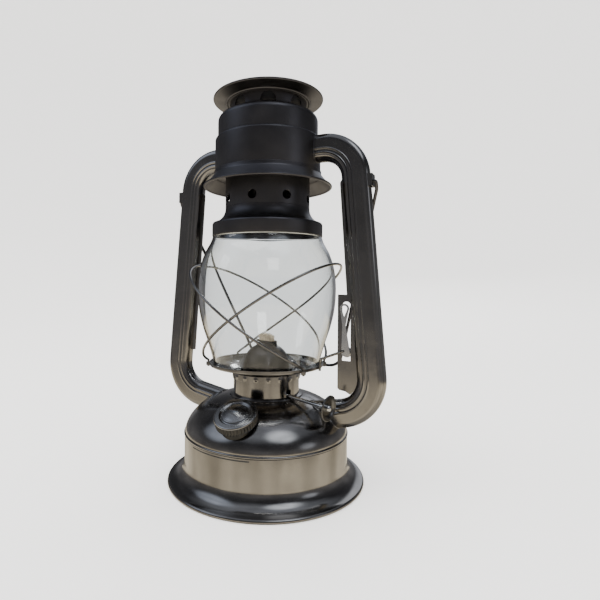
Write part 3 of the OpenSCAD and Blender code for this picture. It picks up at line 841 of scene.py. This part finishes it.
def make_stage():
    """A floor that curves up into a plain backdrop all round. Reflections see the room, not the backdrop."""
    bend, reach, top, steps = 2.6, 0.9, 3.4, 12
    profile = [(0, 0), (0.25, 0), (0.6, 0)]
    for k in range(steps + 1):
        a = math.pi / 2 * k / steps
        profile.append((reach + bend * math.sin(a), bend * (1 - math.cos(a))))
    profile.append((reach + bend, top))
    turns, rows = 96, len(profile)
    verts = [(r * math.cos(2 * math.pi * k / turns), r * math.sin(2 * math.pi * k / turns), z)
             for k in range(turns) for r, z in profile]
    faces = []
    for k in range(turns):
        here, there = k * rows, (k + 1) % turns * rows
        faces += [(here + i, here + i + 1, there + i + 1, there + i) for i in range(rows - 1)]
    mesh = bpy.data.meshes.new("backdrop")
    mesh.from_pydata(verts, [], faces)
    bm = bmesh.new()
    bm.from_mesh(mesh)
    bmesh.ops.remove_doubles(bm, verts=bm.verts, dist=1e-6)
    bmesh.ops.recalc_face_normals(bm, faces=bm.faces)
    bmesh.ops.reverse_faces(bm, faces=bm.faces)
    bm.to_mesh(mesh)
    bm.free()
    mesh.shade_smooth()
    backdrop = bpy.data.objects.new("backdrop", mesh)
    bpy.context.scene.collection.objects.link(backdrop)
    m = Maker("backdrop").set(Roughness=1.0, Emission_Color=(1, 1, 1, 1), Emission_Strength=0.5)
    m.colour(m.blend(m.noise(3, 4), (0.86, 0.85, 0.83), (0.88, 0.87, 0.86)))
    mesh.materials.append(m.material)
    backdrop.visible_glossy = False
    backdrop.visible_transmission = False
    backdrop.visible_shadow = False


# The middle of the lantern
MIDDLE = (0, 0, 0.15)
# Name, place, target, width and height, and power in watts
LIGHTS = (
    ("overhead", (-0.3, -0.4, 1.9), (0, 0, 0), (1.6, 1.6), 30),
    ("window", (0.85, -1.1, 0.95), MIDDLE, (0.5, 0.5), 6),
    ("window_left", (-1.3, -0.9, 0.85), MIDDLE, (0.5, 0.5), 3),
    ("rear", (-0.2, 1.5, 0.9), MIDDLE, (0.6, 0.4), 7),
)


def area_light(name, place, target, size, power):
    """A soft light that metal doesn't mirror, because the room has bright patches of its own."""
    data = bpy.data.lights.new(name, "AREA")
    data.shape = "RECTANGLE"
    data.size, data.size_y = size
    data.energy = power
    light = bpy.data.objects.new(name, data)
    bpy.context.scene.collection.objects.link(light)
    ahead = Vector(target) - Vector(place)
    light.matrix_world = Matrix.Translation(place) @ ahead.to_track_quat("-Z", "Y").to_matrix().to_4x4()
    light.visible_glossy = False


WHITE_STRENGTH = 1.5
ROOM_FLOOR, ROOM_TOP = (0.5, 0.48, 0.44), (0.44, 0.47, 0.55)
# The sine of a direction's height above the horizon, and the colour that metal mirrors from there
ROOM_BANDS = (
    (-0.5, (1.2, 1.08, 0.85)), (-0.23, (1.1, 0.98, 0.75)), (-0.2, (0.23, 0.22, 0.22)),
    (0.05, (0.21, 0.21, 0.22)), (0.3, (0.1, 0.102, 0.112)), (0.6, (0.06, 0.063, 0.072)),
    (0.84, (0.36, 0.39, 0.45)),
)
# A bright patch's direction, its inner and outer angle in degrees, and its colour
ROOM_WINDOWS = (
    ((1.0, -0.62, 1.75), 3, 21, (1.5, 1.62, 1.8)),
    ((-1.3, -0.9, 1.35), 5, 27, (0.7, 0.8, 1.0)),
    ((1.3, -0.1, 0.35), 2, 13, (0.7, 0.75, 0.85)),
    ((-0.2, 1.5, 0.75), 5, 20, (0.9, 0.95, 1.05)),
)
# How far cloudy noise dims and brightens the room
CLOUDS = {"From Min": 0.35, "From Max": 0.65, "To Min": 0.75, "To Max": 1.3}


def add_window(tree, coords, seen, toward, inner, outer, colour):
    """A soft bright patch in the room, with full strength out to one angle and none past another."""
    near = tree.nodes.new("ShaderNodeVectorMath")
    near.operation = "DOT_PRODUCT"
    near.inputs[1].default_value = Vector(toward).normalized()
    tree.links.new(coords.outputs["Generated"], near.inputs[0])
    edge = tree.nodes.new("ShaderNodeMapRange")
    edge.interpolation_type = "SMOOTHSTEP"
    edge.inputs["From Min"].default_value = math.cos(math.radians(outer))
    edge.inputs["From Max"].default_value = math.cos(math.radians(inner))
    tree.links.new(near.outputs["Value"], edge.inputs["Value"])
    add = tree.nodes.new("ShaderNodeMix")
    add.data_type = "RGBA"
    add.blend_type = "ADD"
    add.inputs[7].default_value = (*colour, 1)
    tree.links.new(edge.outputs["Result"], add.inputs["Factor"])
    tree.links.new(seen, add.inputs[6])
    return add.outputs[2]


def make_world():
    """White light all round; reflections see a dim room with soft windows, over a bright tan floor."""
    world = bpy.data.worlds.new("room")
    bpy.context.scene.world = world
    world.use_nodes = True
    world.cycles.sampling_method = "NONE"
    tree = world.node_tree
    tree.nodes.clear()
    new = tree.nodes.new
    coords = new("ShaderNodeTexCoord")
    split = new("ShaderNodeSeparateXYZ")
    height = new("ShaderNodeMapRange")
    height.inputs["From Min"].default_value = -1
    ramp = new("ShaderNodeValToRGB")
    tree.links.new(coords.outputs["Generated"], split.inputs["Vector"])
    tree.links.new(split.outputs["Z"], height.inputs["Value"])
    tree.links.new(height.outputs["Result"], ramp.inputs["Fac"])
    stops = ramp.color_ramp.elements
    stops[0].position, stops[0].color = 0.0, (*ROOM_FLOOR, 1)
    stops[1].position, stops[1].color = 1.0, (*ROOM_TOP, 1)
    for z, colour in ROOM_BANDS:
        stop = stops.new((z + 1) / 2)
        stop.color = (*colour, 1)
    clouds = new("ShaderNodeTexNoise")
    clouds.inputs["Scale"].default_value = 2.6
    clouds.inputs["Detail"].default_value = 2
    tree.links.new(coords.outputs["Generated"], clouds.inputs["Vector"])
    level = new("ShaderNodeMapRange")
    for name, number in CLOUDS.items():
        level.inputs[name].default_value = number
    tree.links.new(clouds.outputs["Fac"], level.inputs["Value"])
    seen = ramp.outputs["Color"]
    for toward, inner, outer, colour in ROOM_WINDOWS:
        seen = add_window(tree, coords, seen, toward, inner, outer, colour)
    room = new("ShaderNodeBackground")
    white = new("ShaderNodeBackground")
    white.inputs["Color"].default_value = (1, 1, 1, 1)
    white.inputs["Strength"].default_value = WHITE_STRENGTH
    rays = new("ShaderNodeLightPath")
    mix = new("ShaderNodeMixShader")
    out = new("ShaderNodeOutputWorld")
    tree.links.new(seen, room.inputs["Color"])
    tree.links.new(level.outputs["Result"], room.inputs["Strength"])
    tree.links.new(rays.outputs["Glossy Depth"], mix.inputs["Fac"])
    tree.links.new(white.outputs["Background"], mix.inputs[1])
    tree.links.new(room.outputs["Background"], mix.inputs[2])
    tree.links.new(mix.outputs["Shader"], out.inputs["Surface"])


make_stage()
make_world()
for light in LIGHTS:
    area_light(*light)
